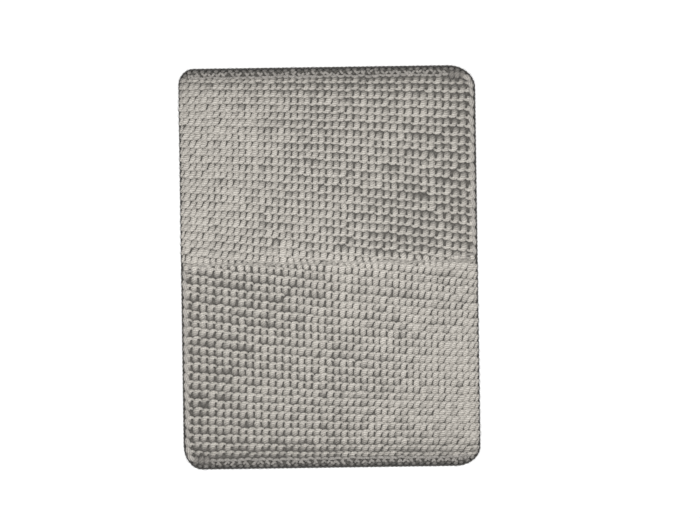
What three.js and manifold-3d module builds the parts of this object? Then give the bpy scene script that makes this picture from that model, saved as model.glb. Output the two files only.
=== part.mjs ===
// Padded bath mat: two crocheted cotton half panels, edged and joined, over a foam core on a
// non-slip backing. Frame: lying flat, +Z up, width along X, length along Y, origin at the middle of
// the underside. Millimetres.

import * as THREE from "three";
import { mergeVertices } from "three/addons/utils/BufferGeometryUtils.js";
import Module from "manifold-3d";

// ---- Driving dimensions ----

const WIDTH = 600;
const LENGTH = 810;

// Corner curves of the outline seen from above, as half-axes along X and Y.
const FRONT_LEFT = { rx: 38, ry: 50 };
const FRONT_RIGHT = { rx: 50, ry: 40 };
const BACK_RIGHT = { rx: 56, ry: 46 };
const BACK_LEFT = { rx: 31, ry: 34 };

const CLEARANCE = 0.3; // between pieces that touch

const GRIP_THICKNESS = 0.8; // rubber dots and film on the underside
const BACKING_THICKNESS = 0.9; // woven cloth
const FOAM_THICKNESS = 12;
const FOAM_ROUND = 3; // rounding of the foam's top edge
const COVER_THICKNESS = 7; // crochet, through the stitches

const BINDING_WIDTH = 7; // cord round the foot of the cover
const BINDING_HEIGHT = 4.4;
const BINDING_LIFT = 0.6; // above the floor
const BINDING_PROUD = 1; // how far it stands out past the cover's wall

const ROLL_RISE = 10; // height of the cover's rounded shoulder
const END_ROLL = 10; // how far the shoulder reaches in over the short ends
const SIDE_ROLL = 5; // the same over the long sides

const END_CHAIN_WIDTH = 15; // foundation chain along each short end
const BRAID_WIDTH_AT_END = 18; // chain edging, widest at the short end
const BRAID_WIDTH_AT_SEAM = 9;
const SEAM_WIDTH = 14;
const SEAM_OFFSET = 9; // the joining row lies this far behind the middle, so the front half is longer
const SEAM_DIP = 1.5; // the joining row lies lower than the panels

// ---- Resolution ----

const CORNER_STEPS = 10; // segments in each corner curve
const ROLL_STEPS = 5; // segments in the shoulder
const BINDING_STEPS = 6; // segments up the binding's outer side, even so that one ring is the widest

// ---- Derived dimensions ----

const BACKING_BASE = GRIP_THICKNESS + CLEARANCE;
const FOAM_BASE = BACKING_BASE + BACKING_THICKNESS + CLEARANCE;
const FOAM_TOP = FOAM_BASE + FOAM_THICKNESS;
const COVER_TOP = FOAM_TOP + CLEARANCE + COVER_THICKNESS;
const COVER_BASE = BINDING_LIFT + BINDING_HEIGHT + CLEARANCE;
const BASE_INSET = BINDING_WIDTH + CLEARANCE;
const FOAM_INSET = Math.max(BASE_INSET, BINDING_PROUD + COVER_THICKNESS + CLEARANCE);
const BEYOND = WIDTH + LENGTH; // reaches past the mat in every direction

const wasm = await Module();
wasm.setup();

// ---- Lofted solids ----

// One closed outline at height z, moved inwards by insetX from the long sides and by insetY from the
// short ends. Each corner is a quarter ellipse about a fixed centre, so its half-axes shrink by the
// same two insets.
function outline({ insetX, insetY = insetX, z }) {
  const corners = [
    { ...BACK_RIGHT, sx: 1, sy: 1, start: 0 },
    { ...BACK_LEFT, sx: -1, sy: 1, start: Math.PI / 2 },
    { ...FRONT_LEFT, sx: -1, sy: -1, start: Math.PI },
    { ...FRONT_RIGHT, sx: 1, sy: -1, start: 1.5 * Math.PI },
  ];
  const points = [];
  for (const { rx, ry, sx, sy, start } of corners) {
    for (let i = 0; i <= CORNER_STEPS; i++) {
      const turn = start + (i / CORNER_STEPS) * (Math.PI / 2);
      const x = sx * (WIDTH / 2 - rx) + (rx - insetX) * Math.cos(turn);
      const y = sy * (LENGTH / 2 - ry) + (ry - insetY) * Math.sin(turn);
      points.push(new THREE.Vector3(x, y, z));
    }
  }
  return points;
}

// A closed solid through a stack of outlines, lowest first, with a fan of triangles over each end.
function loft(levels) {
  const rings = levels.map(outline);
  const count = rings[0].length;
  const points = rings.flat();
  const bottom = points.length;
  const top = bottom + 1;
  points.push(new THREE.Vector3(0, 0, levels[0].z), new THREE.Vector3(0, 0, levels.at(-1).z));
  const faces = [];
  for (let j = 0; j < count; j++) {
    const next = (j + 1) % count;
    for (let i = 0; i + 1 < rings.length; i++) {
      const low = i * count;
      const high = low + count;
      faces.push(low + j, low + next, high + next, low + j, high + next, high + j);
    }
    const last = (rings.length - 1) * count;
    faces.push(bottom, next, j, top, last + j, last + next);
  }
  return new THREE.BufferGeometry().setFromPoints(points).setIndex(faces);
}

// Levels of a wall from base that turns in over a rounded shoulder: a quarter ellipse, rise high.
function shoulder({ inset, base, top, rise, rollX, rollY }) {
  const levels = [{ insetX: inset, insetY: inset, z: base }];
  for (let i = 0; i <= ROLL_STEPS; i++) {
    const turn = (i / ROLL_STEPS) * (Math.PI / 2);
    const inward = 1 - Math.cos(turn);
    levels.push({
      insetX: inset + rollX * inward,
      insetY: inset + rollY * inward,
      z: top - rise + rise * Math.sin(turn),
    });
  }
  return levels;
}

// ---- Booleans ----

function toSolid(geometry) {
  const bare = geometry.clone();
  bare.deleteAttribute("normal");
  bare.deleteAttribute("uv");
  const merged = mergeVertices(bare);
  return new wasm.Manifold(new wasm.Mesh({
    numProp: 3,
    vertProperties: new Float32Array(merged.attributes.position.array),
    triVerts: new Uint32Array(merged.index.array),
  }));
}

function toGeometry(solid) {
  const mesh = solid.getMesh();
  const geometry = new THREE.BufferGeometry();
  geometry.setAttribute("position", new THREE.BufferAttribute(mesh.vertProperties, 3));
  geometry.setIndex(new THREE.BufferAttribute(mesh.triVerts, 1));
  geometry.computeVertexNormals();
  return geometry;
}

// A tall block over a flat region given by its corners, from z 0 up to the given height.
function region(corners, height = BEYOND) {
  const shape = new THREE.Shape(corners.map(([x, y]) => new THREE.Vector2(x, y)));
  return toSolid(new THREE.ExtrudeGeometry(shape, { depth: height, bevelEnabled: false }));
}

// ---- Backing, foam and binding ----

function slab(inset, base, thickness) {
  return loft([{ insetX: inset, z: base }, { insetX: inset, z: base + thickness }]);
}

function foamLevels(grow, base) {
  return shoulder({
    inset: FOAM_INSET - grow,
    base,
    top: FOAM_TOP + grow,
    rise: FOAM_ROUND,
    rollX: FOAM_ROUND,
    rollY: FOAM_ROUND,
  });
}

// A closed cord with a rounded outer side: half an ellipse, a quarter of its height deep.
function bindingGeometry() {
  const depth = BINDING_HEIGHT / 4;
  const levels = [];
  for (let i = 0; i <= BINDING_STEPS; i++) {
    const across = (i / BINDING_STEPS) * 2 - 1;
    levels.push({
      insetX: depth * (1 - Math.sqrt(1 - across * across)),
      z: BINDING_LIFT + (BINDING_HEIGHT * (across + 1)) / 2,
    });
  }
  const hole = toSolid(slab(BINDING_WIDTH, 0, COVER_TOP));
  return toGeometry(toSolid(loft(levels)).subtract(hole));
}

// ---- Crocheted cover ----

// The whole cover: an outer shell with a rolled shoulder, hollow where the foam goes.
function coverShell() {
  const outer = shoulder({
    inset: BINDING_PROUD,
    base: COVER_BASE,
    top: COVER_TOP,
    rise: ROLL_RISE,
    rollX: SIDE_ROLL,
    rollY: END_ROLL,
  });
  return toSolid(loft(outer)).subtract(toSolid(loft(foamLevels(CLEARANCE, 0))));
}

// Regions of one half panel, seen from above with its short end at -Y and the seam at seamY.
function halfRegions(seamY) {
  const half = CLEARANCE / 2;
  const endLine = -LENGTH / 2 + END_CHAIN_WIDTH;
  const seamLine = seamY - SEAM_WIDTH / 2;
  const braidAtEnd = -WIDTH / 2 + BRAID_WIDTH_AT_END;
  const braidAtSeam = -WIDTH / 2 + BRAID_WIDTH_AT_SEAM;
  return {
    end_roll: [
      [-BEYOND, -BEYOND], [BEYOND, -BEYOND], [BEYOND, endLine - half], [-BEYOND, endLine - half],
    ],
    side_braid: [
      [-BEYOND, endLine + half], [braidAtEnd - half, endLine + half],
      [braidAtSeam - half, seamLine - half], [-BEYOND, seamLine - half],
    ],
    cover_panel: [
      [braidAtEnd + half, endLine + half], [BEYOND, endLine + half],
      [BEYOND, seamLine - half], [braidAtSeam + half, seamLine - half],
    ],
  };
}

// The back half is the front half turned by 180 degrees, with its own distance to the seam.
function coverPieces(cover) {
  const pieces = {};
  for (const [kind, corners] of Object.entries(halfRegions(SEAM_OFFSET))) {
    pieces[`${kind}_front`] = toGeometry(cover.intersect(region(corners)));
  }
  for (const [kind, corners] of Object.entries(halfRegions(-SEAM_OFFSET))) {
    const turned = corners.map(([x, y]) => [-x, -y]);
    pieces[`${kind}_back`] = toGeometry(cover.intersect(region(turned)));
  }
  const near = SEAM_OFFSET - SEAM_WIDTH / 2 + CLEARANCE / 2;
  const far = SEAM_OFFSET + SEAM_WIDTH / 2 - CLEARANCE / 2;
  const corners = [[-BEYOND, near], [BEYOND, near], [BEYOND, far], [-BEYOND, far]];
  pieces.centre_seam = toGeometry(cover.intersect(region(corners, COVER_TOP - SEAM_DIP)));
  return pieces;
}

// ---- Materials ----

function finish(color, roughness) {
  return new THREE.MeshStandardMaterial({ color, roughness, metalness: 0 });
}

const COTTON = finish(0xb5ada3, 0.95);
const COTTON_EDGE = finish(0xa39b92, 0.95);
const BINDING = finish(0x7f7973, 0.9);
const FOAM = finish(0xe8e2d0, 0.9);
const BACKING = finish(0x9a958e, 0.95);
const GRIP = finish(0x6f6c69, 0.7);

const COVER_FINISHES = {
  cover_panel_front: COTTON,
  cover_panel_back: COTTON,
  centre_seam: COTTON,
  side_braid_front: COTTON_EDGE,
  side_braid_back: COTTON_EDGE,
  end_roll_front: COTTON_EDGE,
  end_roll_back: COTTON_EDGE,
};

// ---- Assembly ----

const mat = new THREE.Group();

function place(name, geometry, material) {
  const mesh = new THREE.Mesh(geometry, material);
  mesh.name = name;
  mat.add(mesh);
}

place("grip_layer", slab(BASE_INSET, 0, GRIP_THICKNESS), GRIP);
place("backing_cloth", slab(BASE_INSET, BACKING_BASE, BACKING_THICKNESS), BACKING);
place("foam_core", loft(foamLevels(0, FOAM_BASE)), FOAM);
place("edge_binding", bindingGeometry(), BINDING);

const pieces = coverPieces(coverShell());
for (const [name, material] of Object.entries(COVER_FINISHES)) {
  place(name, pieces[name], material);
}

export default mat;
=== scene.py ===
"""Padded bath mat: two crocheted half panels joined across the middle, over foam on a non-slip backing.

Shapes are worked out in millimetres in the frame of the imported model, which lies flat with +Z up, its length
along Y and its origin at the middle of the underside. They go into the meshes in metres. The back half is
made as the front half is, with its short end at -Y, and then turned by 180 degrees.
"""

import logging
import math
from dataclasses import dataclass, field
from enum import Enum

import bpy
import numpy as np
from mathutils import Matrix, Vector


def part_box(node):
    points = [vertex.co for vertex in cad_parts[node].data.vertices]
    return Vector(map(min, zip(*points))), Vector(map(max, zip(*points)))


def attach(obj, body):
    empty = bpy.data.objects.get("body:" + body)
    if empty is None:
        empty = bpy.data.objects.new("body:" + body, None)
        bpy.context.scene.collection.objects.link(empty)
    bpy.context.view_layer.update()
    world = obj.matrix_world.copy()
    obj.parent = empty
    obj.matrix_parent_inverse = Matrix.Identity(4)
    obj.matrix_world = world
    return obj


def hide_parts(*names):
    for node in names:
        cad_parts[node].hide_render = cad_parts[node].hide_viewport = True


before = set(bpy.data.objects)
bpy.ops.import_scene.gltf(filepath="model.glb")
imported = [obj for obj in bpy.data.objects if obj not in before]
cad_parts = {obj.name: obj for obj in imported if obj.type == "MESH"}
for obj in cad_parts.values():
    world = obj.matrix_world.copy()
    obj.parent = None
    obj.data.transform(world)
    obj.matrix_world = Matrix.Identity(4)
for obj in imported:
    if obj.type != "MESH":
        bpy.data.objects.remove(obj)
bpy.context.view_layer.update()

Array = np.ndarray
Colour = tuple[float, float, float]
Material = bpy.types.Material
Object = bpy.types.Object
Socket = bpy.types.NodeSocket

MM = 0.001
SEED = 20
TINY = 1e-9
ON_LINE = 0.01  # mm; a vertex nearer than this lies on the straight side
CORNER_POINTS = 90
CLOTH_GRID = (121, 161)
FILM_GRID = (61, 81)
WEB_GRID = (121, 81)
STITCH_STEPS = 11
STRAND_STEPS = 9

logging.basicConfig(level=logging.INFO, format="%(levelname)s %(message)s")
log = logging.getLogger("bath_mat")


# ---------------------------------------------------------------- small helpers


def cad_box(node: str) -> tuple[Array, Array]:
    """Gives a CAD node's lowest and highest corners in millimetres.

    Args:
        node: name of the node.

    Returns:
        Lowest corner and highest corner.
    """
    low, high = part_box(node)
    return np.array(low) / MM, np.array(high) / MM


def smooth_step(edge0: float, edge1: float, value: Array) -> Array:
    """Rises from 0 at edge0 to 1 at edge1 along 3t^2 - 2t^3."""
    t = np.clip((value - edge0) / (edge1 - edge0), 0.0, 1.0)
    return t * t * (3.0 - 2.0 * t)


def through_points(controls: Array, count: int) -> Array:
    """Carries a smooth curve through control points: a Catmull-Rom cubic between each pair, ends doubled.

    Args:
        controls: control values, one row for each point.
        count: number of points wanted, spread evenly over the control index.

    Returns:
        The points, count rows.
    """
    padded = np.vstack([2 * controls[:1] - controls[1:2], controls, 2 * controls[-1:] - controls[-2:-1]])
    where = np.linspace(0.0, len(controls) - 1.0, count)
    index = np.minimum(where.astype(int), len(controls) - 2)
    t = (where - index)[:, None]
    p0, p1, p2, p3 = (padded[index + i] for i in range(4))
    linear = (p2 - p0) * t
    square = (2 * p0 - 5 * p1 + 4 * p2 - p3) * t**2
    cube = (3 * p1 - p0 - 3 * p2 + p3) * t**3
    return 0.5 * (2 * p1 + linear + square + cube)


def unit(vectors: Array) -> Array:
    """Scales vectors along the last axis to length 1."""
    return vectors / np.maximum(np.linalg.norm(vectors, axis=-1, keepdims=True), TINY)


# ---------------------------------------------------------------- meshes


def new_object(
    name: str,
    points: Array,
    quads: Array,
    material: Material,
    uv: Array | None = None,
    marks: dict[str, Array] | None = None,
) -> Object:
    """Makes an object at the origin from points in millimetres and four-sided faces.

    Args:
        name: object's name.
        points: positions in millimetres.
        quads: four indices for each face, anticlockwise seen from outside.
        material: its finish.
        uv: one pair for each face corner, or nothing.
        marks: attributes with one value for each point, or nothing.

    Returns:
        The linked object.
    """
    mesh = bpy.data.meshes.new(name)
    mesh.vertices.add(len(points))
    mesh.vertices.foreach_set("co", (points * MM).ravel())
    mesh.loops.add(quads.size)
    mesh.loops.foreach_set("vertex_index", quads.ravel().astype(np.int32))
    mesh.polygons.add(len(quads))
    mesh.polygons.foreach_set("loop_start", np.arange(0, quads.size, 4, dtype=np.int32))
    mesh.update(calc_edges=True)
    mesh.polygons.foreach_set("use_smooth", np.ones(len(quads), bool))
    if uv is not None:
        mesh.uv_layers.new(name="yarn").uv.foreach_set("vector", uv.ravel())
    for key, values in (marks or {}).items():
        mesh.attributes.new(key, "FLOAT", "POINT").data.foreach_set("value", values)
    mesh.materials.append(material)
    mesh.validate()
    obj = bpy.data.objects.new(name, mesh)
    bpy.context.collection.objects.link(obj)
    return obj


def closed_sheet(name: str, upper: Array, lower: Array, material: Material) -> Object:
    """Makes a closed sheet from two grids of the same size, joined round their rim.

    Args:
        name: object's name.
        upper: m x n x 3 positions of the upper face, rows along +X and columns along +Y.
        lower: the same for the lower face.
        material: its finish.

    Returns:
        The object.
    """
    m, n = upper.shape[:2]
    top = np.arange(m * n).reshape(m, n)
    face = np.stack([top[:-1, :-1], top[1:, :-1], top[1:, 1:], top[:-1, 1:]], axis=-1).reshape(-1, 4)
    back = (face + m * n)[:, ::-1]
    rim_top = np.concatenate([top[:-1, 0], top[-1, :-1], top[:0:-1, -1], top[0, :0:-1]])
    rim_low = rim_top + m * n
    rim = np.stack([rim_top, rim_low, np.roll(rim_low, -1), np.roll(rim_top, -1)], axis=-1)
    points = np.vstack([upper.reshape(-1, 3), lower.reshape(-1, 3)])
    return new_object(name, points, np.vstack([face, back, rim]), material)


# ---------------------------------------------------------------- the mat's form


@dataclass(frozen=True)
class Outline:
    """An outline seen from above: straight sides and four quarter-ellipse corners.

    Corners are keyed by the signs of x and y, each with its half-axes along X and Y.
    """

    half_width: float
    half_length: float
    corners: dict[tuple[int, int], tuple[float, float]]

    @classmethod
    def from_cad(cls, node: str) -> "Outline":
        """Reads the outline from a CAD node: a corner curve starts where the straight side's last vertex is.

        Args:
            node: node whose widest ring is the outline.

        Returns:
            The outline in millimetres.
        """
        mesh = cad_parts[node].data
        points = np.empty(len(mesh.vertices) * 3)
        mesh.vertices.foreach_get("co", points)
        points = points.reshape(-1, 3) / MM
        half_width, half_length = points[:, :2].max(axis=0)
        corners = {}
        for sx in (-1, 1):
            for sy in (-1, 1):
                on_end = sy * points[:, 1] > half_length - ON_LINE
                on_side = sx * points[:, 0] > half_width - ON_LINE
                rx = half_width - (sx * points[on_end, 0]).max()
                ry = half_length - (sy * points[on_side, 1]).max()
                corners[sx, sy] = (float(rx), float(ry))
        return cls(float(half_width), float(half_length), corners)

    def turned(self) -> "Outline":
        """Gives the outline turned by 180 degrees about its middle."""
        corners = {(-sx, -sy): axes for (sx, sy), axes in self.corners.items()}
        return Outline(self.half_width, self.half_length, corners)

    def shrunk(self, inset: float) -> "Outline":
        """Gives the outline moved inwards by inset, with its corner centres where they were."""
        corners = {key: (rx - inset, ry - inset) for key, (rx, ry) in self.corners.items()}
        return Outline(self.half_width - inset, self.half_length - inset, corners)

    def inset(self, x: Array, y: Array) -> tuple[Array, Array, Array]:
        """Measures how far points lie inside the outline.

        Along a straight side it is the distance to that side. In a corner it is (1 - e) / |grad e|, where e
        is the point's radius as a share of the ellipse's.

        Args:
            x: positions along X.
            y: positions along Y.

        Returns:
            Inset, negative outside, and the outward direction's x and y.
        """
        sx = np.where(x >= 0, 1, -1)
        sy = np.where(y >= 0, 1, -1)
        rx = np.zeros_like(x)
        ry = np.zeros_like(x)
        for (cx, cy), (ax, ay) in self.corners.items():
            here = (sx == cx) & (sy == cy)
            rx[here] = ax
            ry[here] = ay
        dx = np.abs(x) - (self.half_width - rx)
        dy = np.abs(y) - (self.half_length - ry)
        in_corner = (dx > 0) & (dy > 0)
        share = np.maximum(np.hypot(dx / rx, dy / ry), TINY)
        gx = dx / rx**2 / share
        gy = dy / ry**2 / share
        steep = np.hypot(gx, gy)
        to_side = self.half_width - np.abs(x)
        to_end = self.half_length - np.abs(y)
        side_nearer = to_side < to_end
        distance = np.where(in_corner, (1 - share) / steep, np.minimum(to_side, to_end))
        nx = np.where(in_corner, gx / steep, side_nearer.astype(float)) * sx
        ny = np.where(in_corner, gy / steep, (~side_nearer).astype(float)) * sy
        return distance, nx, ny

    def loop(self, step: float) -> tuple[Array, Array, Array]:
        """Goes once round the outline, anticlockwise seen from above, at even spacing.

        Args:
            step: spacing wanted; the last gap is as long as the others.

        Returns:
            Distances along the loop, the points, and their outward directions.
        """
        quarter = np.linspace(0, math.pi / 2, CORNER_POINTS)
        points, normals = [], []
        for i, key in enumerate([(1, 1), (-1, 1), (-1, -1), (1, -1)]):
            rx, ry = self.corners[key]
            turn = quarter + i * math.pi / 2
            cos, sin = np.cos(turn), np.sin(turn)
            centre = np.array([key[0] * (self.half_width - rx), key[1] * (self.half_length - ry)])
            points.append(centre + np.stack([rx * cos, ry * sin], axis=1))
            normals.append(unit(np.stack([cos / rx, sin / ry], axis=1)))
        ring = np.vstack(points + [points[0][:1]])
        facing = np.vstack(normals + [normals[0][:1]])
        along = np.concatenate([[0], np.cumsum(np.linalg.norm(np.diff(ring, axis=0), axis=1))])
        count = int(round(along[-1] / step))
        at = np.arange(count) * along[-1] / count
        place = np.stack([np.interp(at, along, ring[:, i]) for i in (0, 1)], axis=1)
        outward = unit(np.stack([np.interp(at, along, facing[:, i]) for i in (0, 1)], axis=1))
        return at, place, outward

    def walk(self, start: tuple[float, float], length: float) -> tuple[Array, Array, Array]:
        """Walks along the outline from near a point, anticlockwise seen from above, in steps of about 1 mm.

        Args:
            start: point near which the walk starts.
            length: how far it goes.

        Returns:
            Distances from the start, the points, and their outward directions.
        """
        along, place, outward = self.loop(1.0)
        first = int(np.argmin(np.hypot(*(place - start).T)))
        step = along[1]
        count = int(length / step) + 2
        index = (first + np.arange(count)) % len(along)
        return np.arange(count) * step, place[index], outward[index]

    def grid(self, across: int, along: int, high: float | None = None) -> tuple[Array, Array]:
        """Fills the outline with a grid that closes up on its corner curves.

        Args:
            across: points along X.
            along: points along Y, closer together towards both ends.
            high: y at which the grid ends, or nothing for the far short end.

        Returns:
            x and y, each across x along.
        """
        top = self.half_length if high is None else high
        middle, half = (top - self.half_length) / 2, (top + self.half_length) / 2
        y = middle + half * np.sin(np.linspace(-math.pi / 2, math.pi / 2, along))
        reach = {}
        for sx in (-1, 1):
            axes = np.array([self.corners[sx, 1 if v > 0 else -1] for v in y])
            over = np.clip((np.abs(y) - (self.half_length - axes[:, 1])) / axes[:, 1], 0, 1)
            reach[sx] = sx * (self.half_width - axes[:, 0] * (1 - np.sqrt(1 - over**2)))
        share = np.linspace(0, 1, across)[:, None]
        return reach[-1] + share * (reach[1] - reach[-1]), np.broadcast_to(y, (across, along))


@dataclass(frozen=True)
class Cushion:
    """The cover's outer surface: flat on top, a quarter ellipse at the edge, then a short wall."""

    outline: Outline
    top: float
    base: float
    proud: float
    rise: float = 10.0
    end_roll: float = 10.0
    side_roll: float = 5.0
    tuck: float = 6.0
    swell: float = 0.25
    slow_wave: tuple[float, float] = (71.0, 93.0)
    quick_wave: tuple[float, float] = (43.0, 57.0)
    quick_share: float = 0.6
    phase: float = 0.6

    def waves(self, x: Array, y: Array) -> Array:
        """Adds sin(x / a + phase) cos(y / b), which is slow, and a share of the quick sin(x / c - y / d)."""
        slow = np.sin(x / self.slow_wave[0] + self.phase) * np.cos(y / self.slow_wave[1])
        return slow + self.quick_share * np.sin(x / self.quick_wave[0] - y / self.quick_wave[1])

    def place(self, flat: Array) -> Array:
        """Wraps flat positions with a height over the cushion.

        A point inside the shoulder stays where it is. Past the shoulder's start its distance is carried
        along a quarter ellipse, then straight down the wall, and past the wall's foot it tucks inwards. The
        top swells with the waves.

        Args:
            flat: x, y and height above the outer surface along the last axis.

        Returns:
            Positions in millimetres, same shape.
        """
        x, y, height = flat[..., 0], flat[..., 1], flat[..., 2]
        inset, nx, ny = self.outline.inset(x, y)
        inset = inset - self.proud
        roll = self.side_roll * nx**2 + self.end_roll * ny**2
        past = roll - inset
        arc = math.pi / 2 * np.sqrt((roll**2 + self.rise**2) / 2)
        turn = np.clip(past / arc, 0, 1) * math.pi / 2
        wall = self.top - self.rise - self.base
        down = np.clip(past - arc, 0, wall)
        under = np.clip(past - arc - wall, 0, self.tuck)
        new_inset = np.where(past > 0, roll * (1 - np.sin(turn)), inset) + under
        lean = self.rise * np.sin(turn)
        lift = roll * np.cos(turn)
        size = np.maximum(np.hypot(lean, lift), TINY)
        lean = np.where(past > 0, lean / size, 0.0)
        lift = np.where(past > 0, lift / size, 1.0)
        soft = self.swell * (np.cos(turn) * self.waves(x, y) - 1)
        z = self.top - self.rise * (1 - np.cos(turn)) - down + soft
        out = inset - new_inset + lean * height
        return np.stack([x + nx * out, y + ny * out, z + lift * height], axis=-1)


# ---------------------------------------------------------------- yarn


@dataclass
class Strands:
    """Strands of yarn as paths, with the half-width and half-height of each at each point."""

    path: Array
    half_width: Array
    half_height: Array


@dataclass(frozen=True)
class YarnSection:
    """How a strand's half-height follows its half-width, in mm, and how both stray."""

    flatness: float
    thinnest: float = 0.0
    thickest: float = math.inf
    width_stray: float = 0.0
    height_stray: float = 0.0

    def half_height(self, half_width: Array) -> Array:
        """Gives flatness times the half-width, kept between thinnest and thickest."""
        return np.clip(self.flatness * half_width, self.thinnest, self.thickest)


EDGE_YARN = YarnSection(0.7, 1.5, 4.4, width_stray=0.07, height_stray=0.35)
CURL_YARN = YarnSection(0.7, 1.5, 4.2)
LENS_YARN = YarnSection(0.8)
WHIP_YARN = YarnSection(0.75, 1.6, 3.0, width_stray=0.08)


@dataclass
class Tubes:
    """Gathers strands of yarn, wrapped over the cushion, and makes one mesh of them."""

    cushion: Cushion
    rng: np.random.Generator
    sides: int = 8
    fullness: float = 0.66
    press_from: float = 4.2
    room: float = 2.9
    most_offset: float = 40.0
    points: list[Array] = field(default_factory=list)
    quads: list[Array] = field(default_factory=list)
    uvs: list[Array] = field(default_factory=list)
    tints: list[Array] = field(default_factory=list)
    count: int = 0

    def sweep(self, strands: Strands) -> None:
        """Carries a full ellipse along each path, square to it, and wraps the result over the cushion.

        A ring's points are path + side * half_width * c + up * half_height * s, where side is level and
        square to the path, up is square to both, and c and s are cosine and sine raised to the power of
        fullness. Yarn more than press_from deep is pressed flat on the pad: its further depth d becomes
        room (1 - exp(-d / room)).

        Args:
            strands: paths of x, y and height, and their sizes.
        """
        path = strands.path
        count, steps = path.shape[:2]
        along = unit(np.gradient(path, axis=1))
        side = unit(np.stack([along[..., 1], -along[..., 0], np.zeros((count, steps))], axis=-1))
        up = np.cross(side, along)
        angle = 2 * math.pi * np.arange(self.sides) / self.sides
        level, rise = (np.sign(c) * np.abs(c) ** self.fullness for c in (np.cos(angle), np.sin(angle)))
        ring = (
            path[:, :, None, :]
            + side[:, :, None, :] * (strands.half_width[:, :, None] * level)[..., None]
            + up[:, :, None, :] * (strands.half_height[:, :, None] * rise)[..., None]
        )
        deep = np.maximum(-self.press_from - ring[..., 2], 0.0)
        ring[..., 2] += deep - self.room * (1 - np.exp(-deep / self.room))
        self.add(self.cushion.place(ring), path)

    def add(self, ring: Array, path: Array) -> None:
        """Joins rings into closed strands with flat ends.

        Args:
            ring: strands x steps x sides x 3 positions.
            path: strands x steps x 3 positions of the strand's middle, for the length along it.
        """
        strands, steps, sides = ring.shape[:3]
        gaps = np.linalg.norm(np.diff(path, axis=1), axis=2)
        length = np.concatenate([np.zeros((strands, 1)), np.cumsum(gaps, axis=1)], axis=1)
        length = length + self.rng.random((strands, 1)) * self.most_offset
        index = np.arange(strands * steps * sides).reshape(strands, steps, sides) + self.count
        after = np.roll(index, -1, axis=2)
        walls = np.stack([index[:, :-1], index[:, 1:], after[:, 1:], after[:, :-1]], axis=-1)
        turn = np.arange(sides + 1) / sides
        u = np.broadcast_to(length[:, :, None], (strands, steps, sides))
        wall_u = np.stack([u[:, :-1], u[:, 1:], u[:, 1:], u[:, :-1]], axis=-1)
        v0 = np.broadcast_to(turn[:-1], (strands, steps - 1, sides))
        v1 = np.broadcast_to(turn[1:], (strands, steps - 1, sides))
        wall_v = np.stack([v0, v0, v1, v1], axis=-1)
        fan = np.array([[0, i, i + 1, i + 2] for i in range(1, sides - 2, 2)])
        caps = np.concatenate([index[:, 0][:, fan], index[:, -1][:, fan[:, ::-1]]], axis=1)
        self.points.append(ring.reshape(-1, 3))
        self.quads.append(np.vstack([walls.reshape(-1, 4), caps.reshape(-1, 4)]))
        wall_uv = np.stack([wall_u.ravel(), wall_v.ravel()], axis=1)
        self.uvs.append(np.vstack([wall_uv, np.zeros((caps.size, 2))]))
        self.tints.append(np.repeat(self.rng.random(strands), steps * sides))
        self.count += strands * steps * sides

    def build(self, name: str, material: Material, turned: bool = False) -> Object:
        """Makes one smooth object, with a yarn UV map and each point's tint and depth below the cover's top.

        Args:
            name: object's name.
            material: its finish.
            turned: whether the mesh is turned by 180 degrees about the middle of the mat.

        Returns:
            The object.
        """
        points = np.vstack(self.points)
        # The depth mark drives the cotton finish's painted shade, which darkens yarn lying deep below the
        # cover's top.
        marks = {"tint": np.hstack(self.tints), "depth": self.cushion.top - points[:, 2]}
        if turned:
            points = points * np.array([-1, -1, 1])
        return new_object(name, points, np.vstack(self.quads), material, np.vstack(self.uvs), marks)


# ---------------------------------------------------------------- crochet


@dataclass(frozen=True)
class StitchGrid:
    """Where the stitches of a half panel lie, from above, with the braid on the left and the seam ahead.

    Slits between stitches stand in straight columns whose pitch shrinks away from the braid. Rows start
    level with the short end and spread towards the braid, so they slope more near the seam.
    """

    middle: float = 4.0
    pitch: float = 14.05
    shrink: float = 0.007
    half_width: float = 300.0
    first_row: float = -384.5
    first_slope: float = -4.0
    row_pitch: float = 15.0
    row_spread: float = -1.9
    row_bow: float = 1.1
    row_growth: float = 0.06
    growth_slope: float = 0.02
    growth_bow: float = -0.043

    def column(self, j: Array) -> Array:
        """Gives the x of slit column j: the pitch at column j is pitch * exp(-shrink * j)."""
        return self.middle + self.pitch / self.shrink * (1 - np.exp(-self.shrink * j))

    def column_pitch(self, j: Array) -> Array:
        """Gives the spacing of the columns at j."""
        return self.pitch * np.exp(-self.shrink * j)

    def row(self, k: Array, x: Array) -> Array:
        """Gives the y of row boundary k at x: quadratic in k, with coefficients quadratic in x."""
        s = x / self.half_width
        return (
            self.first_row
            + self.first_slope * s
            + k * (self.row_pitch + self.row_spread * s + self.row_bow * s**2)
            + k**2 * (self.row_growth + self.growth_slope * s + self.growth_bow * s**2)
        )


# A stitch as one hooked strand: across in column pitches from its slit, along in row pitches from the
# row's foot, height in mm of the strand's top against the cover's surface, and half-width in mm.
STITCH = np.array(
    [
        (-0.50, -0.40, -5.2, 4.0),
        (-0.50, -0.16, -3.1, 5.6),
        (-0.50, 0.10, -2.3, 6.6),
        (-0.48, 0.38, -1.2, 6.8),
        (-0.38, 0.58, 0.1, 5.2),
        (-0.08, 0.70, 0.5, 2.6),
        (0.16, 0.63, -0.6, 2.2),
        (0.28, 0.45, -3.2, 2.0),
    ]
)

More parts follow.
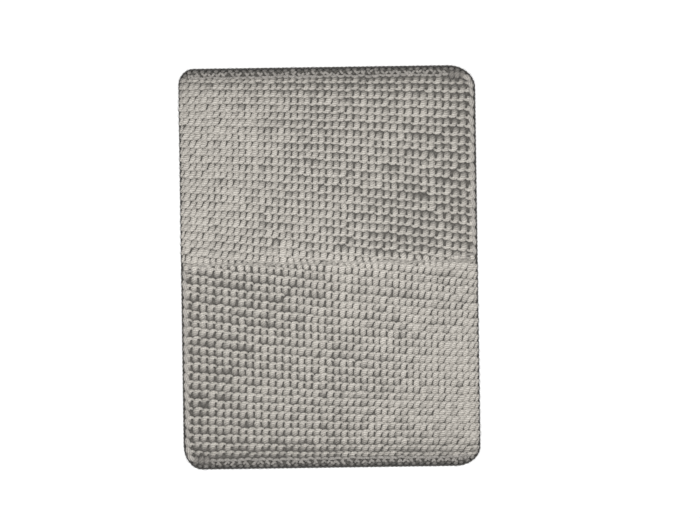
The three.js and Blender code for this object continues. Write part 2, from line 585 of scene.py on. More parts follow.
# Strands laid along the edge: along in strand pitches, inset in mm from the outline (past it is down the
# wall), height in mm of the strand's top and half-width in mm.
BRAID_INNER = np.array(
    [
        (-0.54, 2.4, -5.4, 2.4),
        (-0.40, 3.8, -1.6, 5.2),
        (-0.14, 6.0, 0.9, 6.8),
        (0.12, 8.4, 1.0, 6.8),
        (0.40, 11.2, -0.4, 5.6),
        (0.62, 13.8, -3.2, 4.0),
        (0.78, 15.6, -6.8, 2.4),
    ]
)
BRAID_OUTER = np.array(
    [
        (-0.62, -4.0, -4.0, 2.0),
        (-0.40, -5.0, -1.2, 4.2),
        (-0.10, -7.0, -0.6, 4.8),
        (0.30, -10.0, -1.0, 4.6),
        (0.66, -13.0, -3.2, 3.4),
    ]
)
CHAIN_LINE = np.array(
    [
        (-0.64, 17.4, -3.6, 1.6),
        (-0.34, 19.2, -0.9, 2.6),
        (0.0, 20.4, -0.2, 3.0),
        (0.34, 19.2, -0.9, 2.6),
        (0.64, 17.4, -3.6, 1.6),
    ]
)
CHAIN_LEG = np.array(
    [
        (-0.46, 17.5, -4.4, 1.6),
        (-0.32, 16.2, -1.4, 2.4),
        (-0.14, 13.8, -0.6, 2.6),
        (0.02, 11.4, -1.6, 2.4),
        (0.12, 9.6, -4.6, 1.6),
    ]
)
WALL_RIB = np.array(
    [
        (0.10, 11.0, -6.0, 2.6),
        (0.04, 7.6, -3.2, 4.4),
        (0.0, 3.0, -1.6, 5.4),
        (-0.02, -3.0, -1.0, 5.8),
        (-0.04, -9.0, -1.0, 5.6),
        (-0.06, -14.0, -3.0, 4.6),
    ]
)
# A corner curl: x as a share of its half-width, y in mm from the short end, height in mm of its top, and
# width as a share of its half-width. Its places are x in mm from the left side and the half-width.
CORNER_CURL = np.array(
    [
        (-0.3, 28.0, -8.0, 0.25),
        (0.0, 26.0, -3.0, 0.75),
        (0.2, 21.5, -1.4, 1.0),
        (0.1, 17.0, -1.6, 1.0),
        (-0.1, 12.5, -3.2, 0.8),
        (-0.4, 10.0, -8.5, 0.25),
    ]
)
CURL_PLACES = np.array([(23.0, 7.4), (35.2, 6.6), (46.4, 6.0)])
# A long loop beside the seam at its end: along in loop lengths, y in mm from the loop's middle line,
# height and half-width in mm. Two of them face each other like a lens. Their places are x in mm from the
# left side and distance in mm from the seam.
LENS_LOOP = np.array(
    [
        (-0.52, 0.2, -4.5, 1.4),
        (-0.40, 1.8, -1.6, 2.0),
        (-0.10, 3.6, -0.8, 2.3),
        (0.20, 3.2, -0.9, 2.3),
        (0.42, 1.4, -1.8, 2.0),
        (0.54, -0.4, -4.5, 1.4),
    ]
)
LENS_PLACES = np.array([(16.0, 9.5), (42.0, 8.5)])
LENS_LENGTH = 27.0
# A whip stitch of the seam: along in pitches, y in mm from the seam, height and half-width in mm.
WHIP_STITCH = np.array(
    [
        (-0.76, -4.6, -5.6, 2.0),
        (-0.48, -2.8, -3.0, 3.4),
        (-0.14, -0.8, -2.1, 4.0),
        (0.18, 0.8, -2.1, 4.0),
        (0.50, 2.8, -3.0, 3.4),
        (0.76, 4.6, -5.6, 2.0),
    ]
)


class End(Enum):
    """The two half panels, by the short end that they start from."""

    FRONT = "front"
    BACK = "back"


@dataclass(frozen=True)
class Sinking:
    """How stitches sink near the edges of a half panel, in mm.

    A reach gives the distances between which an effect comes in. Distances are from the seam, from the
    braid's inner line, from the short end, and for the corner from the side and the end.
    """

    squeeze: float = 3.0
    seam_level: float = -2.4
    seam_relief: float = 0.38
    relief_reach: tuple[float, float] = (0.0, 22.0)
    dive: float = 2.6
    dive_reach: tuple[float, float] = (1.0, 8.0)
    past_seam_slope: float = 0.6
    past_seam_most: float = 8.0
    braid_line_at_end: float = 13.0
    braid_line_at_seam: float = 8.5
    under_braid: float = 5.0
    braid_reach: tuple[float, float] = (-1.0, 5.0)
    end_sag: float = 2.0
    sag_reach: tuple[float, float] = (12.0, 74.0)
    under_curls: float = 4.0
    curls_from_side: tuple[float, float] = (56.0, 48.0)
    curls_from_end: tuple[float, float] = (33.0, 26.0)


@dataclass(frozen=True)
class Stray:
    """Standard deviations of the stitches from their rule. A pair is by stitch and by row."""

    slope: tuple[float, float] = (0.12, 0.07)
    along: tuple[float, float] = (0.055, 0.02)
    across: float = 0.035
    width: float = 0.06
    height: float = 0.42


@dataclass
class HalfPanel:
    """One crocheted half: rows of hooked stitches, a braid up its left side, a chain over its short end."""

    end: End
    cushion: Cushion
    seam: float
    rng: np.random.Generator
    grid: StitchGrid = StitchGrid()
    sinking: Sinking = Sinking()
    stray: Stray = Stray()
    first_column: int = -19
    last_column: int = 24
    row_count: int = 27
    lean: float = 0.24
    lean_right: float = 0.24
    lean_bow: float = 0.12
    lean_pivot: float = 0.25
    thickness: float = 0.62
    thin_and_thick: tuple[float, float] = (2.0, 4.2)
    even: float = 0.2
    lift: float = 0.4
    past_seam: float = 4.0
    past_edge: float = 16.0
    web_depth: float = 5.4
    web_thickness: float = 1.0
    web_overhang: float = 12.0
    braid_pitch: float = 18.0
    braid_scale: tuple[float, float] = (0.75, 1.0)
    braid_from_seam: float = 2.0
    braid_short: float = 22.0
    inner_spread: float = 0.5
    outer_spread: float = 0.4
    chain_pitch: float = 14.0
    chain_from_side: float = 47.0
    chain_short: float = 65.0
    leg_gap: float = 0.42
    line_spread: float = 0.7
    leg_spread: float = 1.6
    rib_spread: float = 0.6
    ribs_from_end: float = 44.0
    ribs_long: float = 60.0

    @property
    def turned(self) -> bool:
        """Says whether this half is turned by 180 degrees."""
        return self.end is End.BACK

    def tubes(self) -> Tubes:
        """Starts an empty batch of strands on this half's cushion."""
        return Tubes(self.cushion, self.rng)

    def settle(self, flat: Array) -> Array:
        """Fits stitches to the seam, under the braid and to the short end.

        The gap to the seam becomes w ln(1 + exp(gap / w)). Relief fades towards the seam, and the last
        stitches dive under the joining row. What lies under the braid and the corner curls sinks, and the
        panel sags a little towards the short end.

        Args:
            flat: x, y and height along the last axis.

        Returns:
            The same, moved.
        """
        sink = self.sinking
        outline = self.cushion.outline
        x, y, height = flat[..., 0], flat[..., 1], flat[..., 2]
        gap = self.seam - y
        soft_gap = sink.squeeze * np.logaddexp(0.0, gap / sink.squeeze)
        relief = sink.seam_relief + (1 - sink.seam_relief) * smooth_step(*sink.relief_reach, gap)
        height = sink.seam_level + (height - sink.seam_level) * relief
        height = height - sink.past_seam_slope * np.clip(-gap, 0, sink.past_seam_most)
        height = height - sink.dive * (1 - smooth_step(*sink.dive_reach, soft_gap))
        from_side, from_end = outline.half_width + x, outline.half_length + y
        share = smooth_step(-outline.half_length, self.seam, y)
        line = sink.braid_line_at_end + share * (sink.braid_line_at_seam - sink.braid_line_at_end)
        height = height - sink.under_braid * smooth_step(*sink.braid_reach, line - from_side)
        height = height - sink.end_sag * (1 - smooth_step(*sink.sag_reach, from_end))
        beside = smooth_step(*sink.curls_from_side, from_side)
        height = height - sink.under_curls * beside * smooth_step(*sink.curls_from_end, from_end)
        return np.stack([x, self.seam - soft_gap, height], axis=-1)

    def stitches(self) -> Strands:
        """Lays one hooked strand at each crossing of a slit column and a row.

        A strand leans by slope times its height in the row, where the slope is quadratic in the distance
        from the middle. Its width follows the square root of the column pitch.

        Returns:
            The strands that lie on this half.
        """
        grid, stray = self.grid, self.stray
        shape = through_points(STITCH, STITCH_STEPS)
        columns, rows = np.arange(self.first_column, self.last_column + 1), np.arange(self.row_count)
        j, k = (v.ravel().astype(float) for v in np.meshgrid(columns, rows, indexing="ij"))
        wander = self.rng.normal(0, 1, (len(j), 5))
        by_row = self.rng.normal(0, 1, (self.row_count, 2))[k.astype(int)]
        side = grid.column(j) / grid.half_width
        slope = self.lean + self.lean_right * side + self.lean_bow * side**2
        slope = slope + stray.slope[0] * wander[:, 0] + stray.slope[1] * by_row[:, 0]
        across = shape[:, 0] + slope[:, None] * (shape[:, 1] - self.lean_pivot)
        across = across + stray.across * wander[:, 1:2]
        along = shape[:, 1] + stray.along[0] * wander[:, 2:3] + stray.along[1] * by_row[:, 1:2]
        pitch = grid.column_pitch(j)[:, None]
        x = grid.column(j)[:, None] + across * pitch
        y = grid.row(k[:, None] + along, x)
        half_width = shape[:, 3] * np.sqrt(pitch / grid.pitch) * (1 + stray.width * wander[:, 3:4])
        half_height = np.clip(self.thickness * half_width, *self.thin_and_thick)
        top = shape[:, 2] * (1 - self.even * side[:, None]) + self.lift * side[:, None]
        height = top + stray.height * wander[:, 4:5] - half_height
        inset, _, _ = self.cushion.outline.inset(x[:, 4], y[:, 4])
        kept = (y[:, 3] < self.seam + self.past_seam) & (inset > -self.past_edge)
        path = self.settle(np.stack([x, y, height], axis=-1))
        return Strands(path[kept], half_width[kept], half_height[kept])

    def make_rows(self, material: Material) -> Object:
        """Makes the worked rows."""
        tubes = self.tubes()
        tubes.sweep(self.stitches())
        return tubes.build(f"{self.end.value}_panel_stitches", material, self.turned)

    def make_web(self, material: Material) -> Object:
        """Makes the closed back of the crochet under the stitches: a thin sheet, turned down at the edge.

        Args:
            material: its finish.

        Returns:
            The sheet.
        """
        x, y = self.cushion.outline.shrunk(-self.web_overhang).grid(*WEB_GRID, self.seam)
        faces = []
        for depth in (self.web_depth, self.web_depth + self.web_thickness):
            faces.append(self.cushion.place(np.stack([x, y, np.full_like(x, -depth)], axis=-1)))
        if self.turned:
            faces = [face * np.array([-1, -1, 1]) for face in faces]
        return closed_sheet(f"{self.end.value}_panel_back_loops", *faces, material)

    def along_edge(
        self,
        start: tuple[float, float],
        count: int,
        pitch: float,
        controls: Array,
        spread: float,
        scale: Array | float = 1.0,
    ) -> Strands:
        """Lays strands one after another along the outline.

        Args:
            start: where the walk starts, in the panel's frame.
            count: number of strands.
            pitch: spacing of the strands.
            controls: rows of along in pitches, inset, height and half-width.
            spread: how far strands stray, in mm.
            scale: factor on inset and width, one for all or one for each strand.

        Returns:
            The strands.
        """
        shape = through_points(controls, STRAND_STEPS)
        distances, points, facing = self.cushion.outline.walk(start, (count + 2) * pitch)
        wander = self.rng.normal(0, 1, (count, 4))
        scale = np.broadcast_to(scale, count)[:, None]
        centre = (np.arange(count) + 1.0) * pitch
        along = centre[:, None] + shape[:, 0] * pitch + spread * wander[:, 0:1]
        inset = shape[:, 1] * scale + spread * wander[:, 1:2]
        px, py, nx, ny = (np.interp(along, distances, c) for c in (*points.T, *facing.T))
        half_width = shape[:, 3] * np.sqrt(scale) * (1 + EDGE_YARN.width_stray * wander[:, 2:3])
        half_height = EDGE_YARN.half_height(half_width)
        height = shape[:, 2] + EDGE_YARN.height_stray * wander[:, 3:4] - half_height
        path = np.stack([px - nx * inset, py - ny * inset, height], axis=-1)
        return Strands(path, half_width, half_height)

    def make_braid(self, material: Material) -> Object:
        """Makes the chain up the side: V after V, the inner legs on top and the outer legs down the wall.

        Args:
            material: its finish.

        Returns:
            The braid.
        """
        outline = self.cushion.outline
        length = self.seam + outline.half_length - self.braid_short
        count = int(length / self.braid_pitch)
        pitch = length / count
        scale = np.linspace(*self.braid_scale, count)
        start = (-outline.half_width, self.seam - self.braid_from_seam)
        tubes = self.tubes()
        tubes.sweep(self.along_edge(start, count, pitch, BRAID_INNER, self.inner_spread, scale))
        tubes.sweep(self.along_edge(start, count, pitch, BRAID_OUTER, self.outer_spread))
        tubes.sweep(self.seam_loops())
        return tubes.build(f"{self.end.value}_side_braid_yarn", material, self.turned)

    def seam_loops(self) -> Strands:
        """Lays the long loops beside the seam, next to the braid: pairs that face each other.

        Returns:
            The strands.
        """
        shape = through_points(LENS_LOOP, STRAND_STEPS)
        facing = np.repeat([1.0, -1.0], len(LENS_PLACES))[:, None]
        place = np.tile(LENS_PLACES, (2, 1))
        x = place[:, :1] - self.cushion.outline.half_width + shape[:, 0] * LENS_LENGTH
        y = self.seam - place[:, 1:] + facing * shape[:, 1]
        half_width = np.broadcast_to(shape[:, 3], x.shape)
        half_height = LENS_YARN.half_height(half_width)
        height = shape[:, 2] - half_height
        return Strands(np.stack([x, y, height], axis=-1), half_width, half_height)

    def make_end_chain(self, material: Material) -> Object:
        """Makes the foundation chain on the shoulder of the short end, and the ribs below it.

        Args:
            material: its finish.

        Returns:
            The chain.
        """
        outline = self.cushion.outline
        left, low = -outline.half_width, -outline.half_length
        width = 2 * outline.half_width
        pitch = self.chain_pitch
        chain = ((left + self.chain_from_side, low), int((width - self.chain_short) / pitch))
        ribs = ((left, low + self.ribs_from_end), int((width + self.ribs_long) / pitch))
        mirrored = CHAIN_LEG * np.array([-1, 1, 1, 1]) + np.array([self.leg_gap, 0, 0, 0])
        tubes = self.tubes()
        for place, controls, spread in (
            (chain, CHAIN_LINE, self.line_spread),
            (chain, CHAIN_LEG, self.leg_spread),
            (chain, mirrored, self.leg_spread),
            (ribs, WALL_RIB, self.rib_spread),
        ):
            tubes.sweep(self.along_edge(*place, pitch, controls, spread))
        return tubes.build(f"{self.end.value}_end_chain_yarn", material, self.turned)

    def make_curls(self, material: Material) -> Object:
        """Makes the short fat loops at the corner where the braid meets the chain.

        Args:
            material: its finish.

        Returns:
            The curls.
        """
        shape = through_points(CORNER_CURL, STRAND_STEPS)
        outline = self.cushion.outline
        place, size = CURL_PLACES[:, :1], CURL_PLACES[:, 1:]
        x = place - outline.half_width + shape[:, 0] * size
        y = np.broadcast_to(shape[:, 1] - outline.half_length, x.shape)
        half_width = shape[:, 3] * size
        half_height = CURL_YARN.half_height(half_width)
        tubes = self.tubes()
        path = np.stack([x, y, shape[:, 2] - half_height], axis=-1)
        tubes.sweep(Strands(path, half_width, half_height))
        return tubes.build(f"{self.end.value}_corner_curl_yarn", material, self.turned)


@dataclass
class CentreSeam:
    """The joining row across the middle: slanted whip stitches over the edges of both halves."""

    cushion: Cushion
    middle: float
    rng: np.random.Generator
    pitch: float = 12.4
    overhang: float = 10.0
    stray: float = 0.7

    def build(self, material: Material) -> Object:
        """Makes the row of whip stitches, carried over the shoulders and down both walls.

        Args:
            material: its finish.

        Returns:
            The joining row.
        """
        shape = through_points(WHIP_STITCH, STRAND_STEPS)
        reach = self.cushion.outline.half_width + self.overhang
        x0 = np.arange(-reach, reach, self.pitch)
        wander = self.rng.normal(0, 1, (len(x0), 3))
        x = x0[:, None] + shape[:, 0] * self.pitch + self.stray * wander[:, 0:1]
        y = self.middle + shape[:, 1] + self.stray * wander[:, 1:2]
        half_width = shape[:, 3] * (1 + WHIP_YARN.width_stray * wander[:, 2:3])
        half_height = WHIP_YARN.half_height(half_width)
        height = np.broadcast_to(shape[:, 2] - half_height, x.shape)
        tubes = Tubes(self.cushion, self.rng)
        tubes.sweep(Strands(np.stack([x, y, height], axis=-1), half_width, half_height))
        return tubes.build("centre_seam_yarn", material)


# ---------------------------------------------------------------- edge, backing and foam


@dataclass
class EdgeBinding:
    """Corded binding round the foot of the cover, and the hem thread that whips it down."""

    outline: Outline
    low: float
    high: float
    width: float
    rng: np.random.Generator
    sides: int = 12
    step: float = 2.5
    thread_pitch: float = 8.5
    pinch: float = 0.35
    thread_turn: tuple[float, float] = (-0.42, 0.62)
    thread_steps: int = 7
    thread_sides: int = 6
    thread_radius: float = 0.55
    thread_slant: float = 1.6
    thread_stray: float = 0.3
    bite_in: float = 0.35
    bite_down: float = 0.2

    def make_cord(self, material: Material) -> Object:
        """Makes the cord: an ellipse carried round the outline, drawn in a little at each hem stitch.

        Args:
            material: its finish.

        Returns:
            The cord.
        """
        along, points, outward = self.outline.loop(self.step)
        angle = 2 * math.pi * np.arange(self.sides) / self.sides
        wave = 1 - self.pinch / self.width * (1 + np.cos(2 * math.pi * along / self.thread_pitch))
        half = self.width / 2
        out = (half * np.cos(angle) * wave[:, None]) + half * wave[:, None] - self.width
        z = (self.low + self.high) / 2 + (self.high - self.low) / 2 * np.sin(angle) * wave[:, None]
        xy = points[:, None, :] + outward[:, None, :] * out[..., None]
        ring = np.concatenate([xy, z[..., None]], axis=-1)
        count = len(along)
        index = np.arange(count * self.sides).reshape(count, self.sides)
        ahead = np.roll(index, -1, axis=0)
        quads = np.stack([index, ahead, np.roll(ahead, -1, axis=1), np.roll(index, -1, axis=1)], axis=-1)
        turn = np.arange(self.sides + 1) / self.sides
        ends = np.append(along, along[-1] + along[1])
        u0, u1 = (np.broadcast_to(v[:, None], (count, self.sides)) for v in (ends[:-1], ends[1:]))
        v0, v1 = (np.broadcast_to(v, (count, self.sides)) for v in (turn[:-1], turn[1:]))
        uv = np.stack([np.stack([u0, u1, u1, u0], axis=-1), np.stack([v0, v0, v1, v1], axis=-1)], axis=-1)
        points = ring.reshape(-1, 3)
        return new_object("binding_cord", points, quads.reshape(-1, 4), material, uv.reshape(-1, 2))

    def make_thread(self, material: Material) -> Object:
        """Makes the hem thread: a slanted loop over the cord's outer side at each stitch.

        Args:
            material: its finish.

        Returns:
            The thread.
        """
        along, points, outward = self.outline.loop(1.0)
        count = int(along[-1] / self.thread_pitch)
        turn = math.pi * np.linspace(*self.thread_turn, self.thread_steps)
        centre = (np.arange(count)[:, None] + 0.5) * (along[-1] / count)
        stray = self.thread_stray * self.rng.normal(0, 1, (count, 1))
        at = centre + self.thread_slant * turn / math.pi + stray
        out = (self.width / 2 - self.bite_in) * np.cos(turn) - self.width / 2
        z = (self.low + self.high) / 2 + ((self.high - self.low) / 2 - self.bite_down) * np.sin(turn)
        period = along[-1] + along[1]
        px, py, nx, ny = (np.interp(at, along, c, period=period) for c in (*points.T, *outward.T))
        middle = np.stack([px + nx * out, py + ny * out, np.broadcast_to(z, at.shape)], axis=-1)
        angle = 2 * math.pi * np.arange(self.thread_sides) / self.thread_sides
        forward = unit(np.gradient(middle, axis=1))
        across = unit(np.cross(forward, np.stack([nx, ny, np.zeros_like(nx)], axis=-1)))
        off = np.cross(across, forward)
        ring = middle[:, :, None] + self.thread_radius * (
            across[:, :, None] * np.cos(angle)[:, None] + off[:, :, None] * np.sin(angle)[:, None]
        )
        tubes = Tubes(Cushion(self.outline, self.high, self.low, 0.0), self.rng, self.thread_sides)
        tubes.add(ring, middle)
        return tubes.build("hem_thread", material)


# A rubber dot's dome from the film down to the floor: radius and height as shares of the dot's. Its first
# ring is sunk into the film, in mm.
DOT_PROFILE = np.array([(1.0, 1.0), (0.96, 0.55), (0.74, 0.12), (0.3, 0.0)])
DOT_SUNK = 0.05


@dataclass
class Underside:
    """Backing cloth, and the grip coat under it: a thin film with rows of rubber dots."""

    outline: Outline
    rng: np.random.Generator
    dot_pitch: float = 13.0
    dot_radius: float = 2.4
    dot_sides: int = 8
    film: float = 0.35
    dot_margin: float = 4.8
    ripple: float = 0.08
    ripple_bend: float = 0.4
    ripple_lengths: tuple[float, float, float] = (17.0, 23.0, 21.0)
    slack: float = 0.1

    def make_cloth(self, low: float, high: float, material: Material) -> Object:
        """Makes the cloth: a thin closed sheet with a ripple, sin(x / a + bend sin(y / b)) cos(y / c).

        Args:
            low: height of its lower face.
            high: height of its upper face.
            material: its finish.

        Returns:
            The cloth.
        """
        x, y = self.outline.grid(*CLOTH_GRID)
        a, b, c = self.ripple_lengths
        ripple = self.ripple * np.sin(x / a + self.ripple_bend * np.sin(y / b)) * np.cos(y / c)
        upper = np.stack([x, y, high - self.slack + ripple], axis=-1)
        lower = np.stack([x, y, low + self.slack + ripple], axis=-1)
        return closed_sheet("backing_cloth_sheet", upper, lower, material)

    def make_grip(self, high: float, material: Material) -> tuple[Object, Object]:
        """Makes the film, and the dots as low domes in staggered rows below it.

        Args:
            high: height of the film's upper face.
            material: their finish.

        Returns:
            Film and dots.
        """
        x, y = self.outline.grid(*FILM_GRID)
        upper, lower = (np.stack([x, y, np.full_like(x, z)], axis=-1) for z in (high, high - self.film))
        film = closed_sheet("grip_film", upper, lower, material)
        row_pitch = self.dot_pitch * math.sin(math.pi / 3)
        columns = np.arange(-self.outline.half_width, self.outline.half_width, self.dot_pitch)
        rows = np.arange(-self.outline.half_length, self.outline.half_length, row_pitch)
        gx, gy = np.meshgrid(columns, rows, indexing="ij")
        gx = gx + self.dot_pitch / 2 * (np.arange(len(rows)) % 2)
        inset, _, _ = self.outline.inset(gx, gy)
        kept = inset > self.dot_margin
        centre = np.stack([gx[kept], gy[kept]], axis=-1)
        angle = 2 * math.pi * np.arange(self.dot_sides) / self.dot_sides
        bottom = high - self.film
        profile = DOT_PROFILE * np.array([1.0, bottom])
        profile[0, 1] += DOT_SUNK
        spoke = np.stack([np.cos(angle), np.sin(angle)], axis=-1)
        xy = centre[:, None, None, :] + self.dot_radius * profile[:, 0][:, None, None] * spoke
        z = np.broadcast_to(profile[:, 1][:, None], xy.shape[:3])
        ring = np.concatenate([xy, z[..., None]], axis=-1)
        tubes = Tubes(Cushion(self.outline, high, 0.0, 0.0), self.rng)
        tubes.add(ring, ring[:, :, 0])
        return film, tubes.build("grip_dots", material)


@dataclass
class FoamPad:
    """Foam pad inside the cover, with a rounded top edge and a cut face that is a little uneven."""

    outline: Outline
    low: float
    high: float
    round_over: float = 3.0
    crown: float = 0.5
    broad_wave: tuple[float, float, float] = (0.3, 37.0, 41.0)
    fine_wave: tuple[float, float, float] = (0.2, 13.0, 11.0)

    def build(self, material: Material) -> Object:
        """Makes the pad.

        Its top falls by a quarter circle at the edge. Inside, it sinks by crown times half plus two waves,
        broad sin(x / a) cos(y / b) and fine sin(x / c + y / d).

        Args:
            material: its finish.

        Returns:
            The pad.
        """
        x, y = self.outline.grid(*CLOTH_GRID)
        inset, _, _ = self.outline.inset(x, y)
        in_round = np.clip(1 - inset / self.round_over, 0, 1)
        drop = self.round_over * (1 - np.sqrt(1 - in_round**2))
        (broad, a, b), (fine, c, d) = self.broad_wave, self.fine_wave
        waves = broad * np.sin(x / a) * np.cos(y / b) + fine * np.sin(x / c + y / d)
        uneven = self.crown * (0.5 + waves)
        upper = np.stack([x, y, self.high - drop - uneven * (1 - in_round)], axis=-1)
        lower = np.stack([x, y, np.full_like(x, self.low)], axis=-1)
        return closed_sheet("foam_pad", upper, lower, material)


# ---------------------------------------------------------------- finishes


class NodeMaker:
    """Adds shader nodes to a new material and links them, to keep each finish short."""

    def __init__(self, name: str) -> None:
        """Starts a material with a Principled shader.

        Args:
            name: material's name.
        """
        self.material = bpy.data.materials.new(name)
        self.material.use_nodes = True
        self.tree = self.material.node_tree
        self.shader = self.tree.nodes["Principled BSDF"]

    def add(self, kind: str, inputs: dict | None = None, **settings: object) -> bpy.types.Node:
        """Adds a node.

        Args:
            kind: Blender's node type.
            inputs: values or output sockets for its inputs, by name or index.
            **settings: properties of the node.

        Returns:
            The node.
        """
        node = self.tree.nodes.new(kind)
        for key, value in settings.items():
            setattr(node, key, value)
        for key, value in (inputs or {}).items():
            self.feed(node.inputs[key], value)
        return node

    def feed(self, socket: Socket, value: object) -> None:
        """Links an output to a socket, or sets the socket's value."""
        if isinstance(value, Socket):
            self.tree.links.new(value, socket)
        else:
            socket.default_value = value

    def shade(self, **values: object) -> None:
        """Feeds the shader's inputs, named with underscores for spaces."""
        for key, value in values.items():
            self.feed(self.shader.inputs[key.replace("_", " ")], value)

    def math(self, operation: str, *values: object) -> Socket:
        """Adds a Math node and gives its output."""
        return self.add("ShaderNodeMath", dict(enumerate(values)), operation=operation).outputs[0]

    def noise(self, vector: Socket, scale: float, detail: float = 3.0) -> Socket:
        """Adds a noise and gives its height."""
        inputs = {"Vector": vector, "Scale": scale, "Detail": detail}
        return self.add("ShaderNodeTexNoise", inputs).outputs[0]

    def attribute(self, name: str) -> Socket:
        """Reads one of the mesh's attributes."""
        return self.add("ShaderNodeAttribute", attribute_name=name).outputs["Fac"]

    def span(self, value: Socket, low: float, high: float, to_low: float, to_high: float) -> Socket:
        """Maps low to high onto to_low to to_high, clamped, and gives the result."""
        return self.add("ShaderNodeMapRange", {0: value, 1: low, 2: high, 3: to_low, 4: to_high}).outputs[0]

    def grey(self, value: Socket) -> Socket:
        """Gives a grey of a value, as a colour to multiply by."""
        return self.add("ShaderNodeCombineXYZ", {i: value for i in range(3)}).outputs[0]

    def ramp(self, value: Socket, low: float, high: float, dark: Colour, light: Colour) -> Socket:
        """Adds a colour ramp from dark at low to light at high and gives its colour."""
        node = self.add("ShaderNodeValToRGB", {0: value})
        for element, position, colour in zip(node.color_ramp.elements, (low, high), (dark, light)):
            element.position = position
            element.color = (*colour, 1.0)
        return node.outputs[0]

    def times(self, a: Socket, b: Socket, factor: float = 1.0) -> Socket:
        """Multiplies two colours, by the given share, and gives the result."""
        node = self.add("ShaderNodeMix", data_type="RGBA", blend_type="MULTIPLY")
        for index, value in ((0, factor), (6, a), (7, b)):
            self.feed(node.inputs[index], value)
        return node.outputs[2]

    def bump(
        self, height: Socket, distance: float, strength: float, under: Socket | None = None
    ) -> Socket:
        """Adds a bump of the given distance in metres and gives its normal."""
        inputs = {"Height": height, "Distance": distance, "Strength": strength}
        if under is not None:
            inputs["Normal"] = under
        return self.add("ShaderNodeBump", inputs).outputs[0]


@dataclass(frozen=True)
class CottonYarn:
    """Soft spun cotton yarn: plies twisted round the strand, fine fibres, a slight change of tone, and painted
    shade in the ply grooves and in the yarn that lies deep below the cover's top.
    """

    name: str
    light: Colour = (0.93, 0.88, 0.80)
    dark: Colour = (0.68, 0.64, 0.58)
    plies: float = 6.0
    twist: float = 34.0
    ply_groove_shade: float = 0.66
    fuzz: tuple[float, float] = (0.7, 1.08)
    fibre_stretch: tuple[float, float] = (0.3, 22.0)
    fibre_scale: float = 1.6
    clump_scale: float = 340.0
    clump_range: tuple[float, float] = (0.36, 0.64)
    clump_share: float = 0.65
    painted_shade_depth: float = 4.4
    painted_shade_power: float = 2.4
    darkest_painted_shade: float = 0.10
    ply_relief: float = 0.0013
    fibre_relief: float = 0.0006

    def make(self) -> Material:
        """Builds the material.

        Ply height is the absolute sine of plies times (turn + length / twist), and the ply grooves get painted
        shade. Tone follows the strand's tint and a noise, and painted shade darkens it as exp(-(depth / d)^p)
        below the cover's top, for shade depth d and power p.
        """
        m = NodeMaker(self.name)
        uv = m.add("ShaderNodeUVMap", uv_map="yarn").outputs[0]
        split = m.add("ShaderNodeSeparateXYZ", {0: uv})
        length, turn = split.outputs[0], split.outputs[1]
        wound = m.math("MULTIPLY", turn, self.plies)
        phase = m.math("ADD", wound, m.math("MULTIPLY", length, self.plies / self.twist))
        ply = m.math("ABSOLUTE", m.math("SINE", m.math("MULTIPLY", phase, math.pi)))
        combed = {i: m.math("MULTIPLY", s, self.fibre_stretch[i]) for i, s in enumerate((length, turn))}
        fibre = m.noise(m.add("ShaderNodeCombineXYZ", combed).outputs[0], self.fibre_scale)
        cloud = m.noise(m.add("ShaderNodeTexCoord").outputs["Object"], self.clump_scale, 4.0)
        clump = m.math("MULTIPLY", m.span(cloud, *self.clump_range, 0.0, 1.0), self.clump_share)
        tint = m.math("MULTIPLY", m.attribute("tint"), 1 - self.clump_share)
        colour = m.ramp(m.math("ADD", tint, clump), 0.1, 0.9, self.dark, self.light)
        # Painted shade: the colour is darker in the grooves between the plies.
        colour = m.times(colour, m.grey(m.span(ply, 0.0, 0.6, self.ply_groove_shade, 1.0)))
        colour = m.times(colour, m.grey(m.span(fibre, 0.35, 0.65, *self.fuzz)))
        # Painted shade: the colour darkens with depth below the cover's top, as shade falls in the slits and
        # hollows.
        share = m.math("DIVIDE", m.math("MAXIMUM", m.attribute("depth"), 0.0), self.painted_shade_depth)
        shade = m.math("EXPONENT", m.math("MULTIPLY", m.math("POWER", share, self.painted_shade_power), -1.0))
        colour = m.times(colour, m.grey(m.math("MAXIMUM", shade, self.darkest_painted_shade)))
        normal = m.bump(ply, self.ply_relief, 1.0)
        normal = m.bump(m.math("ADD", fibre, cloud), self.fibre_relief, 0.7, normal)
        m.shade(Base_Color=colour, Roughness=0.93, Specular_IOR_Level=0.2, Normal=normal)
        m.shade(Sheen_Weight=0.15, Sheen_Roughness=0.6)
        return m.material


@dataclass(frozen=True)
class TwistedTape:
    """Binding cord covered in woven tape: slanted threads round the cord."""

    name: str
    light: Colour = (0.20, 0.19, 0.175)
    dark: Colour = (0.11, 0.105, 0.098)
    per_mm: float = 0.9
    per_turn: float = 18.0
    lint_scale: float = 900.0

    def make(self) -> Material:
        """Builds the material: two sets of slanted threads cross, one over the other."""
        m = NodeMaker(self.name)
        split = m.add("ShaderNodeSeparateXYZ", {0: m.add("ShaderNodeUVMap", uv_map="yarn").outputs[0]})
        length = m.math("MULTIPLY", split.outputs[0], self.per_mm)
        turn = m.math("MULTIPLY", split.outputs[1], self.per_turn)
        sets = [m.math("MULTIPLY", m.math(op, length, turn), math.pi) for op in ("ADD", "SUBTRACT")]
        weave = m.math("MAXIMUM", *(m.math("SINE", s) for s in sets))
        lint = m.noise(m.add("ShaderNodeTexCoord").outputs["Object"], self.lint_scale, 4.0)
        tone = m.math("ADD", m.math("MULTIPLY", weave, 0.3), lint)
        normal = m.bump(lint, 0.0002, 0.5, m.bump(weave, 0.0003, 0.7))
        m.shade(Base_Color=m.ramp(tone, 0.3, 0.9, self.dark, self.light), Normal=normal)
        m.shade(Roughness=0.9, Specular_IOR_Level=0.25, Sheen_Weight=0.1)
        return m.material


